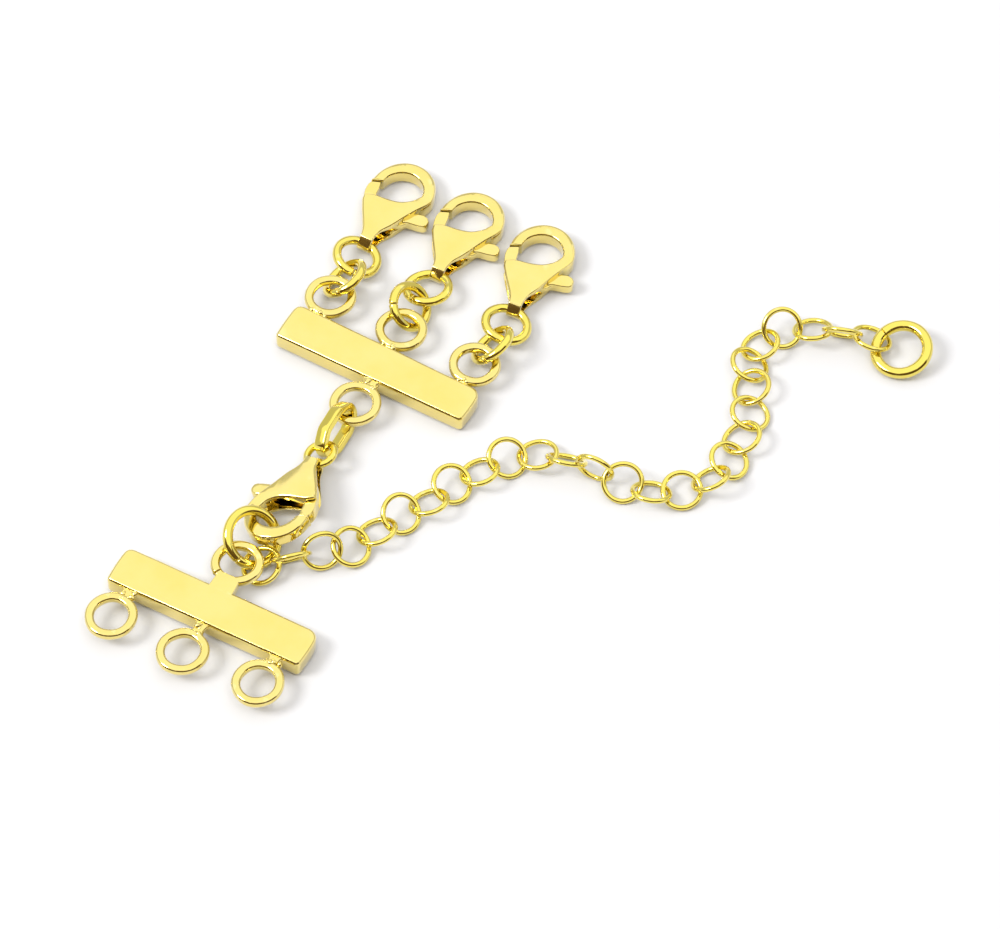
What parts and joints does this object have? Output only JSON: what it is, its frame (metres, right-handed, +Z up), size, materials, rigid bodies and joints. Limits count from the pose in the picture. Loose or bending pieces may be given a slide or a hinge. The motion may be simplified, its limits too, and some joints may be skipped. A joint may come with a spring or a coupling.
{
  "type": "layering clasp",
  "caption": "Gold layering clasp for several necklaces: bars with soldered rings, lobster clasps on linked rings, an oval link and an extension chain with an end ring",
  "frame": {"origin": "on the table, under the middle of the whole laid-out piece", "axes": "+X along the upper bar, toward the side where the extension chain lies; +Y from the lower bar to the three open clasps; +Z up from the table"},
  "size_m": [0.0573, 0.0692, 0.0043],
  "materials": {
    "polished_gold": "polished yellow gold plate on silver",
    "lever_gold": "polished yellow gold plate",
    "ring_gold": "polished yellow gold plate on round wire",
    "chain_gold": "bright yellow gold plate on fine wire"
  },
  "bodies": {
    "bars_and_chain": {"upper_bar": "polished_gold", "lower_bar": "polished_gold", "clasp_1": "polished_gold", "clasp_2": "polished_gold", "clasp_3": "polished_gold", "clasp_4": "polished_gold", "link_ring_1": "ring_gold", "link_ring_2": "ring_gold", "link_ring_3": "ring_gold", "clasp_ring_1": "ring_gold", "clasp_ring_2": "ring_gold", "clasp_ring_3": "ring_gold", "hook_ring": "ring_gold", "tail_ring": "ring_gold", "end_ring": "ring_gold", "oval_link": "ring_gold", "chain_link_01": "chain_gold", "chain_link_02": "chain_gold", "chain_link_03": "chain_gold", "chain_link_04": "chain_gold", "chain_link_05": "chain_gold", "chain_link_06": "chain_gold", "chain_link_07": "chain_gold", "chain_link_08": "chain_gold", "chain_link_09": "chain_gold", "chain_link_10": "chain_gold", "chain_link_11": "chain_gold", "chain_link_12": "chain_gold", "chain_link_13": "chain_gold", "chain_link_14": "chain_gold", "chain_link_15": "chain_gold", "chain_link_16": "chain_gold", "chain_link_17": "chain_gold", "chain_link_18": "chain_gold", "chain_link_19": "chain_gold", "chain_link_20": "chain_gold", "chain_link_21": "chain_gold", "chain_link_22": "chain_gold", "chain_link_23": "chain_gold", "chain_link_24": "chain_gold", "chain_link_25": "chain_gold", "chain_link_26": "chain_gold", "chain_link_27": "chain_gold"},
    "lever_1": {"lever_1": "lever_gold"},
    "lever_2": {"lever_2": "lever_gold"},
    "lever_3": {"lever_3": "lever_gold"},
    "lever_4": {"lever_4": "lever_gold"}
  },
  "joints": [
    {"name": "lever_1_pivot", "type": "hinge", "parent": "bars_and_chain", "child": "lever_1", "pos_m": [-0.02665, 0.02005, 0.00112], "axis": [0, 0, 1], "range_deg": [-25, 0], "stiffness_Nm_per_rad": 0.014, "springref_deg": 10.03},
    {"name": "lever_2_pivot", "type": "hinge", "parent": "bars_and_chain", "child": "lever_2", "pos_m": [-0.01883, 0.02024, 0.00112], "axis": [0, 0, 1], "range_deg": [-25, 0], "stiffness_Nm_per_rad": 0.014, "springref_deg": 10.03},
    {"name": "lever_3_pivot", "type": "hinge", "parent": "bars_and_chain", "child": "lever_3", "pos_m": [-0.01057, 0.02012, 0.00112], "axis": [0, 0, 1], "range_deg": [-25, 0], "stiffness_Nm_per_rad": 0.014, "springref_deg": 10.03},
    {"name": "lever_4_pivot", "type": "hinge", "parent": "bars_and_chain", "child": "lever_4", "pos_m": [-0.01495, -0.01097, 0.00247], "axis": [-0.2782, 0.0553, 0.9589], "range_deg": [-25, 0], "stiffness_Nm_per_rad": 0.014, "springref_deg": 10.03}
  ]
}
